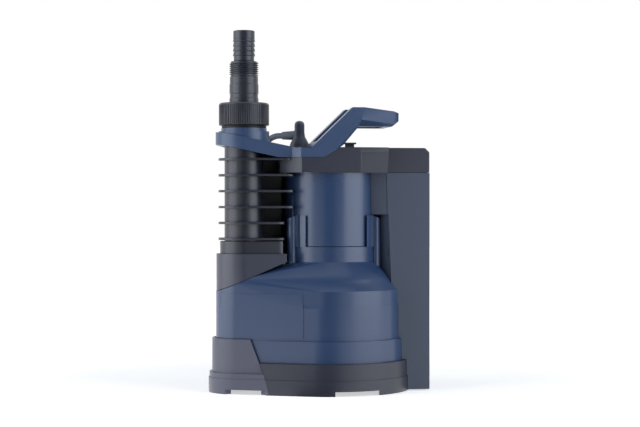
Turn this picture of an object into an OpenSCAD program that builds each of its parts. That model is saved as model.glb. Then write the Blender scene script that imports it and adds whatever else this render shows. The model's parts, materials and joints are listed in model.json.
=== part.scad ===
// Submersible drainage pump with a built-in float switch
// The motor axis stands at motor_x on the X axis, the outlet is on the left and the float housing on the right

/* [Base] */
// Height of the suction base
base_h = 35; // [28:1:45]
// Radius of the skirt round the motor
skirt_r = 92; // [90:1:100]
// Radius of the skirt round the outlet end
skirt_end_r = 40; // [38:1:44]
// Height of the outward step at the foot of the skirt
skirt_step_h = 17; // [12:1:22]
// How far the skirt stands back above its step
skirt_step = 1; // [0.5:0.5:2]
// Wall of the plastic mouldings
wall = 3; // [2:0.5:4]
// Height of the water slots between the feet
slot_h = 5.2; // [4.5:0.1:8]
// Radius of the suction eye
eye_r = 20; // [16:1:24]
// Height of the end panel
panel_h = 61; // [50:0.5:70]
// Radius of the end panel round the outlet axis, above the skirt
panel_r = 36; // [35.5:0.5:37]
// Height of the crease between the end panel's skirt and its face
panel_crease_z = 23; // [18:1:28]

/* [Pump housing] */
// Distance from the motor axis to the outlet axis, sideways
outlet_dx = 101; // [96:1:110]
// Distance from the motor axis to the outlet axis, towards the front
outlet_dy = 15; // [8:1:20]
// Radius of the housing round the motor
housing_r = 82.4; // [80:0.2:85]
// Radius of the flange at the housing's foot
flange_r = 85.6; // [85:0.1:89]
// Height of the flange's top
flange_top = 59.5; // [50:0.5:64]
// Radius of the housing round the outlet
outlet_boss_r = 31.7; // [30:0.1:32]
// Height where the shoulder starts to curve in
shoulder_z = 96; // [90:1:100]
// Height of the crease where the shoulder begins
crease_z = 115; // [108:1:120]
// Radius of the shoulder's curve
shoulder_r = 54; // [48:1:60]
// Height of the roof at the outlet's outer side
roof_z = 113.3; // [108:0.1:118]
// Slope of the roof from the outlet up to the motor, in degrees
roof_slope = 23.4; // [18:0.2:26]
// Height of the shoulder's top, at the motor
shoulder_top = 146; // [140:1:150]
// Radius of the flow passage from the impeller to the outlet
passage_r = 12.5; // [10:0.5:13]
// Height of the foot of the raised field that a label would cover
label_z = 62; // [61.5:0.5:70]
// Height of that field
label_h = 49.5; // [30:0.5:50]
// Thickness of that field
label_t = 0.8; // [0.4:0.1:1.5]

/* [Motor] */
// Radius of the motor shell
motor_r = 53; // [51:0.5:54]
// Height of the joint between the housing and the motor shell
motor_joint_z = 163; // [158:1:170]
// Height of the motor shell's top
motor_top = 246.4; // [240:0.1:250]
// Radius of a screw tower on the shell
tower_r = 5.5; // [5:0.1:6]
// Sideways distance of a screw tower from the motor axis
tower_x = 48; // [46:0.5:49]
// Front to back distance of a screw tower from the motor axis
tower_y = 28; // [26:0.5:30]
// Outer radius of the wall that runs from each tower round the shell
collar_wall_r = 56; // [54.5:0.1:57]
// Sideways distance of that wall's end from the motor axis
collar_x = 35; // [30:0.5:42]
// Height of the screw towers
tower_top = 197; // [190:1:204]
// Radius of the motor shaft
shaft_r = 5; // [4:0.5:6]
// Outer radius of the rotor
rotor_r = 27; // [24:1:30]
// Length of the rotor and stator stack
stack_h = 78; // [60:1:85]
// Air gap between rotor and stator
air_gap = 0.6; // [0.4:0.1:1.2]
// Outer radius of the stator
stator_r = 46; // [44:0.5:47]
// Outer radius of the ball bearings
bearing_r = 13; // [11:0.5:15]
// Height of a ball bearing
bearing_h = 9; // [7:0.5:11]

/* [Impeller] */
// Radius of the impeller
impeller_r = 42; // [36:1:46]
// Height of the impeller with its vanes
impeller_h = 15; // [12:0.5:17]
// Number of impeller vanes
vane_count = 6; // [4:1:8]
// Thickness of a vane
vane_t = 2.4; // [2:0.1:3]

/* [Top cover] */
// Height of the pump to the top of the cover
cover_top = 274.8; // [270:0.1:280]
// Distance from the motor axis to the front face of the cover
cover_front = 56; // [56:0.5:58]
// Distance from the motor axis to the left side of the cover
cover_left = 62; // [61:0.5:64]
// Distance from the motor axis to the left end of the front face
cover_face_left = 41; // [38:1:44]
// Distance from the motor axis to the right end of the front face
cover_face_right = 25; // [22:1:28]
// Thickness of the rim above the recessed right corner
rim_h = 5.2; // [4:0.1:7]
// Depth of the recessed right corner
corner_recess = 4; // [2:0.5:6]

/* [Float housing] */
// How far the float housing stands out beyond the skirt
float_out = 15.6; // [14:0.1:20]
// Half of the depth of the float housing
float_half = 42; // [38:0.5:44]
// Distance from the motor axis to the front edge of the float housing
float_edge = 58; // [56:0.5:62]
// Lean of the float housing's front edges beside the pump, in degrees
float_lean = 2.2; // [0:0.1:4]
// Height of the float housing's foot above the ground
float_foot = 1.3; // [1:0.1:4]
// Chamfer at the outer top edge of the cap
cap_chamfer = 5; // [3:0.5:8]
// Height of the float
float_h = 62; // [40:1:70]
// Rise of the float from its lower stop to its upper stop
float_travel = 70; // [40:1:90]
// Radius of the float's guide rod
guide_r = 2; // [1.5:0.1:2.5]

/* [Discharge pipe] */
// Outer radius of the discharge pipe
pipe_r = 22; // [21:0.1:23]
// Bore radius of the discharge pipe
pipe_bore_r = 17; // [15:0.5:18]
// Outer radius of the cooling ribs
rib_r = 28.8; // [27:0.1:30]
// Thickness of a rib
rib_t = 2.6; // [2:0.1:3.5]
// Height of the lowest rib
rib_first_z = 172; // [171:0.5:174]
// Spacing of the ribs
rib_pitch = 17.9; // [17:0.1:18]
// Number of ribs
rib_count = 6; // [4:1:6]
// Radius of the collar at the foot of the pipe
collar_r = 27; // [25:0.5:29]
// Height of the top of the elbow cover
elbow_top = 155.6; // [152:0.2:158]
// Radius of the elbow cover
elbow_r = 31.2; // [30:0.1:31.5]

/* [Union and hose tail] */
// Height of the union nut's lower edge
nut_z = 296.9; // [294:0.1:298]
// Height of the union nut
nut_h = 28.2; // [25:0.1:30]
// Outer radius of the union nut
nut_r = 28.3; // [27:0.1:30]
// Number of grip grooves on the union nut
grip_count = 36; // [24:1:48]
// Radius of the outlet's threaded spigot
spigot_r = 24; // [23:0.1:24.5]
// Radius of the hose tail's wide step
tail_wide_r = 16.4; // [15.5:0.1:17]
// Radius of the plain step above it
tail_mid_r = 15.9; // [15:0.1:16]
// Share of the tail above the nut that lies below its thread
thread_share = 0.368; // [0.3:0.001:0.4]
// Length of the hose tail's thread
thread_h = 17; // [12:0.5:18]
// Crest radius of the hose tail's thread
thread_r = 16.5; // [16:0.05:17]
// Thread pitch
thread_pitch = 2.309; // [2.2:0.001:2.5]
// Radius of the narrow step over its barbs
barb_r = 12.5; // [12:0.1:13]
// Height of the top of the hose tail
tail_top = 406.8; // [400:0.2:410]
// Bore radius of the narrow step
tail_bore_r = 9.5; // [8.5:0.1:10]

/* [Handle] */
// Width of the carrying handle, front to back
handle_w = 65; // [60:1:68]
// Thickness of the handle's strap
strap_t = 13.8; // [10:0.2:15]
// Radius of the handle's collar round the pipe, above the strap
handle_collar_r = 28.5; // [27:0.1:30]
// Slope of the strap from the outlet down to the cover, in degrees
strap_slope = 11.5; // [9:0.5:13]
// Height of the flat part that lies on the cover
band_z = 263.6; // [261:0.1:266]
// Height of the top of the grip
grip_top = 319.4; // [312:0.1:324]
// Thickness of the grip
grip_t = 21; // [18:0.5:23]
// Distance from the motor axis to the end of the grip
grip_reach = 69.4; // [60:0.2:74]
// Width of one arm of the grip
arm_w = 16; // [12:0.5:19]

/* [Cable] */
// Diameter of the power cable
cable_d = 7; // [6:0.5:8]
// Sideways distance from the motor axis to the cable gland
gland_dx = 32.4; // [31:0.2:36]
// Distance of the cable gland behind the motor axis
gland_dy = 21; // [15:0.5:24]
// Mean diameter of the cable coil, in cable diameters
coil_wraps_d = 18; // [14:1:18]
// Turns side by side in the coil
coil_wide = 6; // [4:1:7]
// Layers of turns in the coil
coil_high = 4; // [3:1:6]

/* [Hidden] */
$fn = 96;

blue = [0.30, 0.36, 0.47];
dark = [0.22, 0.23, 0.26];
slate = [0.29, 0.32, 0.36];
black = [0.10, 0.10, 0.12];
steel = [0.72, 0.73, 0.75];
copper = [0.72, 0.43, 0.25];

// Clearances
seam = 0.3;
run = 0.08;
eps = 0.01;

// Places that follow from the sizes above
left_reach = outlet_dx + skirt_end_r;
pump_side = max(skirt_r, flange_r + 5);
float_far = pump_side + float_out;
motor_x = (left_reach - float_far) / 2;
outlet_x = motor_x - outlet_dx;
outlet_span = norm([outlet_dx, outlet_dy]);
outlet_lean = atan2(outlet_dy, outlet_dx);
handle_front = cover_front + 1;
handle_mid_y = -(handle_front - handle_w / 2);
impeller_z = base_h + 4;
stack_z = 100;
upper_bearing_z = 212;
lower_bearing_z = 80;

module at_motor() { translate([motor_x, 0, 0]) children(); }
module at_outlet() { translate([outlet_x, -outlet_dy, 0]) children(); }

// Flat outline of the lower casing: a circle round the motor, one round the outlet, and the lines that touch both
module casing_outline(round_motor, round_outlet) {
    flare = asin((round_motor - round_outlet) / outlet_span);
    motor_side = round_motor - 0.03;
    outlet_side = round_outlet - 0.03;
    near = [motor_side * sin(flare), motor_side * cos(flare)];
    far = [outlet_span + outlet_side * sin(flare), outlet_side * cos(flare)];
    circle(r = round_motor);
    rotate(180 + outlet_lean) {
        translate([outlet_span, 0]) circle(r = round_outlet);
        polygon([near, far, [far[0], -far[1]], [near[0], -near[1]]]);
    }
}

module casing_slab(z0, z1, round_motor, round_outlet) {
    at_motor() translate([0, 0, z0]) linear_extrude(z1 - z0) casing_outline(round_motor, round_outlet);
}

// Extrudes a side view, drawn as x and z, from y0 back to y1
module side_view(y0, y1) { translate([0, y1, 0]) rotate([90, 0, 0]) linear_extrude(y1 - y0) children(); }

module tube(r_out, r_in, z0, z1) {
    translate([0, 0, z0]) difference() {
        cylinder(r = r_out, h = z1 - z0);
        translate([0, 0, -1]) cylinder(r = r_in, h = z1 - z0 + 2);
    }
}

module box(x0, x1, y0, y1, z0, z1) { translate([x0, y0, z0]) cube([x1 - x0, y1 - y0, z1 - z0]); }

// Base
floor_t = 4;
base_screw_at = [[-20, -70], [-20, 70], [55, -46], [55, 46]];

// Region covered by the end panel, grown by a gap
module end_zone(gap) {
    side_view(-120, 120) polygon([
        [-outlet_dx - 60, -1], [-78.6 + gap, -1], [-84.8 + gap, panel_crease_z],
        [-98.5 + gap, panel_h + gap], [-outlet_dx - 60, panel_h + gap]
    ]);
}

module water_slots() {
    at_motor() {
        box(-9, 42, -130, 130, -1, slot_h);
        for (s = [-1, 1]) {
            translate([-106.5, s * 59, slot_h / 2 - 0.5]) rotate([0, 0, -s * 28]) cube([38, 40, slot_h + 1], center = true);
        }
    }
}

module suction_base() {
    color(dark) difference() {
        union() {
            casing_slab(0, skirt_step_h, skirt_r, skirt_end_r);
            casing_slab(skirt_step_h - eps, base_h, skirt_r - skirt_step, skirt_end_r - skirt_step);
        }
        casing_slab(-1, base_h - floor_t, skirt_r - skirt_step - wall, skirt_end_r - skirt_step - wall);
        water_slots();
        at_motor() end_zone(seam);
        at_motor() translate([0, 0, base_h - floor_t - 1]) cylinder(r = eye_r, h = floor_t + 2);
        at_motor() for (p = base_screw_at) translate([p[0], p[1], 0]) cylinder(r = 2, h = base_h + 1);
    }
}

module base_screws() {
    color(steel) at_motor() for (p = base_screw_at) translate([p[0], p[1], 0]) {
        translate([0, 0, base_h - floor_t - 3]) cylinder(r = 4, h = 3);
        translate([0, 0, base_h - floor_t - eps]) cylinder(r = 2, h = 20);
    }
}

module base_end_panel() {
    panel_round = flange_r + 1;
    color(dark) difference() {
        intersection() {
            union() {
                casing_slab(0, skirt_step_h, skirt_r, skirt_end_r);
                casing_slab(skirt_step_h - eps, panel_crease_z, skirt_r - skirt_step, skirt_end_r - skirt_step);
                casing_slab(panel_crease_z - eps, panel_h, panel_round, panel_r);
            }
            at_motor() end_zone(0);
        }
        casing_slab(-1, panel_h + 1, panel_round - wall, panel_r - wall);
        water_slots();
    }
}

// Pump housing
chamber_r = 62;
chamber_top = 58;
cavity_floor = 66;
cavity_r = motor_r - wall;
ring_r = motor_r + 1.5;
passage_z = base_h + passage_r + 1;
seal_r = 14;
tower_at = [[tower_x, tower_y], [tower_x, -tower_y], [-tower_x, tower_y], [-tower_x, -tower_y]];
arc_end = shoulder_r * sin(45);
arc_x = housing_r - shoulder_r;
crease_a = asin((crease_z - shoulder_z) / shoulder_r);

// Everything below the sloping roof over the outlet, dropped by a gap
module below_roof(drop) {
    rise = tan(roof_slope);
    x0 = -outlet_dx - outlet_boss_r - 20;
    z0 = roof_z - drop - 20 * rise;
    side_view(-120, 120) polygon([[x0, -1], [30, -1], [30, z0 + (30 - x0) * rise], [x0, z0]]);
}

module label_span() { box(-128.5, -42, -120, 0, label_z, label_z + label_h); }

module shoulder(grow) {
    rotate_extrude() polygon(concat(
        [[0, shoulder_z - 2], [arc_x + shoulder_r + grow, shoulder_z - 2], [arc_x + shoulder_r * cos(crease_a) + 0.8 + grow, crease_z - 0.4]],
        [for (a = [crease_a:(45 - crease_a) / 4:45.01]) [arc_x + (shoulder_r + grow) * cos(a), shoulder_z + (shoulder_r + grow) * sin(a)]],
        [[arc_x + arc_end + grow - (shoulder_top - shoulder_z - arc_end - grow), shoulder_top], [0, shoulder_top]]
    ));
}

// The shoulder with its slope down to the outlet's roof
module shoulder_to_outlet(grow) {
    hull() {
        shoulder(grow, $fn = 64);
        intersection() {
            translate([-outlet_dx, -outlet_dy, shoulder_z - 2])
                cylinder(r = outlet_boss_r + grow, h = 60, $fn = 64);
            below_roof(-max(grow, 0));
        }
    }
}

module towers(z0, z1, r) {
    translate([0, 0, z0]) linear_extrude(z1 - z0) for (p = tower_at) translate(p) {
        circle(r = r);
        rotate(atan2(p[1], p[0]) + 180) translate([0, 0.8 - r]) square([9, 2 * r - 1.6]);
    }
}

module tower_holes(z0, z1, r) { for (p = tower_at) translate([p[0], p[1], z0]) cylinder(r = r, h = z1 - z0); }

module pump_housing() {
    color(blue) difference() {
        union() {
            difference() {
                casing_slab(base_h, flange_top, flange_r, outlet_boss_r);
                at_motor() difference() {
                    end_zone(seam);
                    translate([0, 0, -1]) linear_extrude(200) casing_outline(housing_r, outlet_boss_r);
                }
            }
            casing_slab(flange_top - eps, shoulder_z, housing_r, outlet_boss_r);
            intersection() {
                casing_slab(label_z, shoulder_z, housing_r + label_t, outlet_boss_r + label_t);
                at_motor() label_span();
            }
            at_motor() intersection() {
                hull() {
                    shoulder(label_t - 0.06, $fn = 64);
                    translate([-outlet_dx, -outlet_dy, shoulder_z - 2])
                        cylinder(r = outlet_boss_r + label_t - 0.06, h = 20, $fn = 64);
                }
                label_span();
            }
            at_motor() shoulder_to_outlet(-0.05);
            at_motor() translate([0, 0, shoulder_top - 1]) cylinder(r = ring_r, h = motor_joint_z - shoulder_top + 1);
            at_motor() towers(120, motor_joint_z, tower_r);
        }
        at_motor() {
            translate([0, 0, base_h - 1]) cylinder(r = chamber_r, h = chamber_top - base_h + 1);
            translate([0, 0, chamber_top - 1]) cylinder(r = seal_r, h = 20);
            translate([0, 0, cavity_floor]) cylinder(r = cavity_r, h = 120);
            for (p = base_screw_at) translate([p[0], p[1], base_h - 1]) cylinder(r = 2, h = 18);
            tower_holes(143, motor_joint_z + 1, 2);
            translate([0, 0, passage_z]) rotate([0, 90, 180 + outlet_lean]) translate([0, 0, 40])
                cylinder(r = passage_r, h = outlet_span - 40 + 6);
            translate([-outlet_dx, -outlet_dy, passage_z - passage_r + 2]) cylinder(r = pipe_bore_r, h = 100);
        }
    }
}

// Pump end
module impeller() {
    color(black) at_motor() difference() {
        union() {
            translate([0, 0, impeller_z + impeller_h - 3]) cylinder(r = impeller_r, h = 3);
            translate([0, 0, impeller_z]) cylinder(r = 10, h = impeller_h);
            for (i = [0:vane_count - 1]) rotate([0, 0, i * 360 / vane_count]) translate([-19, 0, impeller_z])
                intersection() {
                    tube(28, 28 - vane_t, 0.5, impeller_h - 2);
                    box(0, 40, 4, 40, -1, impeller_h);
                    translate([19, 0, 0]) cylinder(r = impeller_r - 0.5, h = impeller_h);
                }
        }
        translate([0, 0, impeller_z - 1]) cylinder(r = shaft_r, h = impeller_h + 2);
    }
}

module impeller_nut() {
    color(steel) at_motor() difference() {
        translate([0, 0, impeller_z - 5]) linear_extrude(5) circle(r = 9, $fn = 6);
        translate([0, 0, impeller_z - 6]) cylinder(r = shaft_r, h = 8);
    }
}

module shaft_seal() {
    color(black) at_motor() {
        difference() {
            tube(seal_r, shaft_r + run, chamber_top, cavity_floor);
            tube(seal_r - 3, shaft_r + 2.5, chamber_top - 1, cavity_floor - 3);
        }
    }
}

// Motor
shaft_top = 224;
cup_top = 200;
module motor_shaft() {
    color(steel) at_motor() {
        translate([0, 0, impeller_z - 6]) cylinder(r = shaft_r, h = shaft_top - impeller_z + 6);
    }
}

module rotor_core() { color(steel) at_motor() tube(rotor_r, shaft_r, stack_z, stack_z + stack_h); }

module ball_bearing(z) {
    tube(bearing_r, bearing_r - 2.5, z, z + bearing_h);
    tube(bearing_r - 2.5 + eps, shaft_r + 2.5, z + 1, z + bearing_h - 1);
    tube(shaft_r + 2.5 + eps, shaft_r + run, z, z + bearing_h);
}

module lower_bearing() { color(steel) at_motor() ball_bearing(lower_bearing_z); }

module upper_bearing() { color(steel) at_motor() ball_bearing(upper_bearing_z); }

module motor_cup() {
    color(steel) at_motor() difference() {
        union() {
            tube(cavity_r, stator_r, cavity_floor, cup_top);
            translate([0, 0, cavity_floor]) cylinder(r = cavity_r, h = 6);
            translate([0, 0, cavity_floor]) cylinder(r = bearing_r + 4, h = lower_bearing_z + bearing_h - cavity_floor);
        }
        translate([0, 0, lower_bearing_z]) cylinder(r = bearing_r, h = bearing_h + 1);
        translate([0, 0, cavity_floor - 1]) cylinder(r = shaft_r + 3, h = 60);
    }
}

module upper_bracket() {
    color(steel) at_motor() difference() {
        union() {
            translate([0, 0, cup_top]) cylinder(r = cavity_r, h = 6);
            translate([0, 0, cup_top]) cylinder(r = bearing_r + 4, h = upper_bearing_z + bearing_h - cup_top);
        }
        translate([0, 0, upper_bearing_z]) cylinder(r = bearing_r, h = bearing_h + 1);
        translate([0, 0, cup_top - 1]) cylinder(r = shaft_r + 3, h = 60);
    }
}

module stator_core() { color(steel) at_motor() tube(stator_r, rotor_r + air_gap, stack_z, stack_z + stack_h); }

module stator_windings() {
    color(copper) at_motor() {
        tube(stator_r - 3, rotor_r + 4, stack_z - 10, stack_z);
        tube(stator_r - 3, rotor_r + 4, stack_z + stack_h, stack_z + stack_h + 14);
    }
}

module motor_shell() {
    color(blue) at_motor() difference() {
        union() {
            tube(motor_r, cavity_r, motor_joint_z, motor_top);
            intersection() {
                union() {
                    towers(motor_joint_z, tower_top + 8, tower_r);
                    intersection() {
                        tube(collar_wall_r, cavity_r, motor_joint_z, tower_top + 8);
                        for (s = [-1, 1], t = [-1, 1]) scale([s, t, 1]) box(collar_x, tower_x, tower_y, 60, motor_joint_z, tower_top + 8);
                    }
                }
                for (s = [0, 180]) rotate([0, 0, s]) side_view(-60, 60) polygon([
                    [0, motor_joint_z], [tower_x + 7, motor_joint_z], [tower_x + 7, tower_top - 3],
                    [tower_x - 5, tower_top + 1.5], [0, tower_top + 0.5]
                ]);
            }
        }
        translate([0, 0, motor_joint_z]) cylinder(r = cavity_r, h = 100);
        tube(cavity_r + 2.2, cavity_r - 1, motor_joint_z - 1, motor_joint_z + 1.2);
        tower_holes(motor_joint_z - 1, 180, 2);
        tower_holes(172, 220, 3.6);
    }
}

module shell_seal() { color(black) at_motor() tube(cavity_r + 2.2, cavity_r, motor_joint_z, motor_joint_z + 1.2); }

module shell_screws() {
    color(steel) at_motor() {
        tower_holes(172, 175, 3.5);
        tower_holes(143, 172 + eps, 2);
    }
}

// Cover over the motor
plate_t = 3;
cover_screw_at = [[-34, 42], [34, 30], [6, -46]];
post_r = 4.5;
lever_at = [17, -33];

// Flat outline of the cover, drawn smaller by an inset
module cover_outline(inset) {
    l = cover_left - inset;
    a = cover_face_left - inset * 0.4;
    b = cover_face_right - inset * 0.4;
    f = cover_front - inset;
    r = float_edge - inset;
    polygon([[-l, -30], [-a, -f], [b, -f], [r, -40], [r, 40], [b, f], [-a, f], [-l, 30]]);
}

// The two recessed right corners, moved inwards by a depth
module cover_corners(depth) {
    deep = corner_recess + depth;
    x = cover_face_right + 2 - depth;
    for (s = [-1, 1]) polygon([[x, s * (cover_front + 1)], [x, s * (cover_front - deep)], [60, s * (36 - deep)], [60, s * 60]]);
}

module top_plate() {
    color(steel) at_motor() difference() {
        translate([0, 0, motor_top]) cylinder(r = motor_r - 1, h = plate_t);
        for (p = cover_screw_at) translate([p[0], p[1], motor_top - 1]) cylinder(r = 1.5, h = 10);
        translate([gland_x, gland_dy, motor_top - 1]) cylinder(r = 5, h = 10);
    }
}

module top_cover() {
    color(dark) difference() {
        union() {
            at_motor() difference() {
                translate([0, 0, motor_top]) linear_extrude(cover_top - motor_top) cover_outline(0);
                translate([0, 0, motor_top - 1]) linear_extrude(cover_top - rim_h - motor_top + 1) cover_corners(0);
                translate([0, 0, motor_top - 1]) linear_extrude(cover_top - motor_top + 1 - wall) difference() {
                    cover_outline(wall + 0.5);
                    cover_corners(wall);
                }
            }
            at_motor() for (p = cover_screw_at) translate([p[0], p[1], motor_top + plate_t])
                cylinder(r = post_r, h = cover_top - motor_top - plate_t - 1);
            at_motor() translate([0, 0, cover_top - strap_t]) linear_extrude(strap_t - 1) intersection() {
                cover_outline(1);
                polygon([[-70, -70], [-6, -70], [-6, 10], [-70, 10]]);
            }
        }
        handle_body();
        at_motor() {
            for (p = cover_screw_at) translate([p[0], p[1], motor_top]) {
                cylinder(r = 1.5, h = 40);
                translate([0, 0, cover_top - motor_top - 4]) cylinder(r = 3.3, h = 10);
            }
            for (p = handle_screw_at) translate([p[0], p[1], band_z - 9]) cylinder(r = 1.5, h = 12);
            translate([gland_x, gland_dy, motor_top]) cylinder(r = 5, h = 60);
            box(lever_at[0] - 11, lever_at[0] + 11, lever_at[1] - 2.2, lever_at[1] + 2.2, cover_top - wall - 1, cover_top + 1);
            translate([float_edge + seam, -60, motor_top - 1]) cube([40, 120, 60]);
        }
    }
}

module cover_screws() {
    color(steel) at_motor() for (p = cover_screw_at) translate([p[0], p[1], 0]) {
        translate([0, 0, cover_top - 4]) cylinder(r = 3.2, h = 2.4);
        translate([0, 0, motor_top]) cylinder(r = 1.5, h = cover_top - 4 - motor_top + eps);
    }
}

module capacitor() {
    color(steel) at_motor() translate([2, 23, motor_top + plate_t + 9.5]) rotate([90, 0, 90]) {
        translate([0, 0, -21]) cylinder(r = 9.5, h = 42);
        translate([-4, -9.5, -18]) cube([8, 2, 36]);
    }
}

module mode_lever() {
    color(dark) at_motor() translate([lever_at[0], lever_at[1], 0]) {
        box(-7, 7, -4.5, 4.5, cover_top + 1.6, cover_top + 3.4);
        box(-5, 5, -2, 2, cover_top - wall - 0.3, cover_top + 1.7);
        box(-5, 5, -4, 4, cover_top - wall - 2, cover_top - wall - 0.2);
    }
}

// Float housing
channel_x = pump_side - 1;
rod_x = channel_x + 6.8;
room_x = 60;
float_z = base_h + 5;

// Flat outline of the float housing, whose inner walls start at a point beside the motor
module float_outline(start) {
    polygon([
        [44, 8], start, [float_edge, float_half], [float_far, float_half],
        [float_far, -float_half], [float_edge, -float_half], [start[0], -start[1]], [44, -8]
    ]);
}

// Space that the pump keeps beside the float housing
module beside_pump() {
    translate([0, 0, -1]) cylinder(r = skirt_r + seam, h = skirt_step_h + 1 + seam);
    cylinder(r = skirt_r - skirt_step + seam, h = base_h + seam);
    cylinder(r = flange_r + seam, h = flange_top + seam);
    cylinder(r = housing_r + seam, h = shoulder_z);
    shoulder(seam);
    cylinder(r = ring_r + seam, h = motor_joint_z + seam);
    cylinder(r = motor_r + seam, h = 300);
    towers(120, tower_top + 3, tower_r + seam);
}

// Cuts that lean the float housing's two inner edges outwards towards its foot
module edge_cuts(start, inset) {
    run_in = [float_edge - start[0], float_half - start[1]];
    tilt = atan(sin(atan2(run_in[1], run_in[0])) * tan(float_lean));
    for (side = [0, 1]) mirror([0, side, 0])
        translate([float_edge + inset, -float_half, motor_top])
            rotate([0, 0, -atan2(run_in[1], run_in[0])])
            rotate([tilt, 0, 0]) translate([-90, -60, -300]) cube([180, 60, 320]);
}

module float_housing() {
    low_start = [48.5, 25];
    high_start = [38, 33.4];
    color(slate) at_motor() difference() {
        union() {
            difference() {
                translate([0, 0, float_foot]) linear_extrude(tower_top + 2.5 - float_foot) float_outline(low_start);
                edge_cuts(low_start, 2 * seam);
            }
            difference() {
                translate([0, 0, tower_top + 2.5]) linear_extrude(motor_top - tower_top - 2.5) float_outline(high_start);
                edge_cuts(high_start, seam);
            }
        }
        beside_pump();
        box(channel_x, float_far - wall, -float_half + wall, float_half - wall, base_h, motor_top - 8);
        box(room_x, channel_x - wall, -float_half + wall, float_half - wall, 152, 300);
        box(room_x, float_far - wall, -float_half + wall, float_half - wall, motor_top - 6, 300);
        translate([rod_x, 0, motor_top - 9]) cylinder(r = guide_r, h = 10);
        for (y = [-24, 0, 24]) box(channel_x + 2, float_far - wall - 1, y - 4, y + 4, -1, base_h + 1);
    }
}

module float_cap() {
    color(dark) at_motor() difference() {
        translate([0, 0, motor_top + float_foot - 1.1]) intersection() {
            h = cover_top - motor_top - float_foot + 1.1;
            translate([float_edge + seam, -float_half, 0]) cube([float_far - float_edge - seam, 2 * float_half, h]);
            side_view(-60, 60) polygon([
                [0, 0], [float_far, 0], [float_far, h - cap_chamfer], [float_far - cap_chamfer, h], [0, h]
            ]);
        }
        box(room_x + 1, float_far - wall, -float_half + wall, float_half - wall, motor_top - 1, cover_top - cap_chamfer - wall);
    }
}

module float_body() {
    color([0.85, 0.72, 0.25]) at_motor() difference() {
        box(channel_x + 1, float_far - wall - 1, -30, 30, float_z, float_z + float_h);
        translate([rod_x, 0, float_z - 1]) cylinder(r = guide_r + run, h = float_h + 2);
        translate([rod_x, 14, float_z + float_h - 6]) cylinder(r = 4, h = 7);
    }
}

module float_magnet() { color(steel) at_motor() translate([rod_x, 14, float_z + float_h - 6]) cylinder(r = 4, h = 5); }

module guide_rod() { color(steel) at_motor() translate([rod_x, 0, base_h]) cylinder(r = guide_r, h = motor_top - 6 - base_h); }

module reed_switch() { color(black) at_motor() box(channel_x - wall - 7, channel_x - wall, 6, 22, 158, 196); }

// Outlet
neck_z = 283;
neck_r = spigot_r + run;
seal_z = elbow_top - 4;
spigot_top = nut_z + 16;
module elbow_cover() {
    color(slate) at_motor() difference() {
        intersection() {
            translate([0, 0, roof_z - 20]) linear_extrude(elbow_top - roof_z + 20) union() {
                translate([-outlet_dx, -outlet_dy]) circle(r = elbow_r);
                translate([-outlet_dx, -outlet_dy - elbow_r]) square([outlet_dx - 56.5, 2 * elbow_r]);
            }
            box(-200, 0, -100, 100, 0, elbow_top);
        }
        below_roof(-0.2);
        translate([0, 0, 90]) cylinder(r = ring_r, h = 100);
        shoulder_to_outlet(0.2);
        translate([-outlet_dx, -outlet_dy, 80]) cylinder(r = pipe_r, h = 100);
    }
}

// Flat outline of a rib, which runs on from the pipe past the side of the motor to a blunt point
module rib_outline(r, reach) {
    translate([-outlet_dx, -outlet_dy]) circle(r = r);
    polygon([
        [-outlet_dx, 0.03 - outlet_dy - r], [reach - 9, 0.03 - outlet_dy - r], [reach - 2, 2.5 - outlet_dy - r],
        [reach, 7 - outlet_dy - r], [reach + 3, -20], [-52, 12], [-74, 12], [-outlet_dx, r - 0.03 - outlet_dy]
    ]);
}

module discharge_pipe() {
    web = [[-92, -10], [-57.7, -10], [-56.5, -3], [-50, 0], [-50, 8], [-62, 8], [-92, 0]];
    color(black) at_motor() difference() {
        union() {
            translate([-outlet_dx, -outlet_dy, roof_z]) cylinder(r = pipe_r, h = neck_z - roof_z);
            translate([-outlet_dx, -outlet_dy, neck_z - 4]) cylinder(r = spigot_r, h = spigot_top - neck_z + 4);
            translate([0, 0, elbow_top]) linear_extrude(13.8) intersection() {
                rib_outline(collar_r, -56);
                translate([-200, -100]) square([140, 200]);
            }
            for (i = [0:rib_count - 1]) translate([0, 0, rib_first_z + i * rib_pitch - rib_t / 2]) linear_extrude(rib_t)
                rib_outline(rib_r, i < 2 ? -57.5 : -47.4);
            intersection() {
                translate([0, 0, elbow_top]) linear_extrude(neck_z - elbow_top) polygon(web);
                side_view(-60, 60) polygon([
                    [-95, 0], [-49, 0], [-49, band_z + 4], [-66, band_z + 4], [-95, band_z + 4 + 29 * tan(strap_slope)]
                ]);
            }
        }
        translate([0, 0, 0]) cylinder(r = ring_r + 0.2, h = motor_joint_z + 0.2);
        cylinder(r = motor_r + 0.2, h = 400);
        towers(120, tower_top + 3, tower_r + 0.2);
        translate([0, 0, motor_top - 0.3]) linear_extrude(60) cover_outline(-0.2);
        translate([-motor_x, 0, 0]) handle_body();
        translate([-outlet_dx, -outlet_dy, 0]) cylinder(r = pipe_bore_r, h = 400);
        translate([-outlet_dx, -outlet_dy, 0]) tube(pipe_bore_r + 3, pipe_bore_r - 1, seal_z, seal_z + 2.5);
        below_roof(-0.2);
        translate([-outlet_dx, -outlet_dy, 100]) difference() {
            cylinder(r = pipe_r + 1, h = 14);
            cylinder(r = pipe_r - 2, h = 14);
        }
    }
}

module pipe_seal() { color(black) at_outlet() tube(pipe_bore_r + 3, pipe_bore_r, seal_z, seal_z + 2.5); }

module union_gasket() { color(black) at_outlet() tube(spigot_r - 1, pipe_bore_r, spigot_top, spigot_top + 2); }

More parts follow.
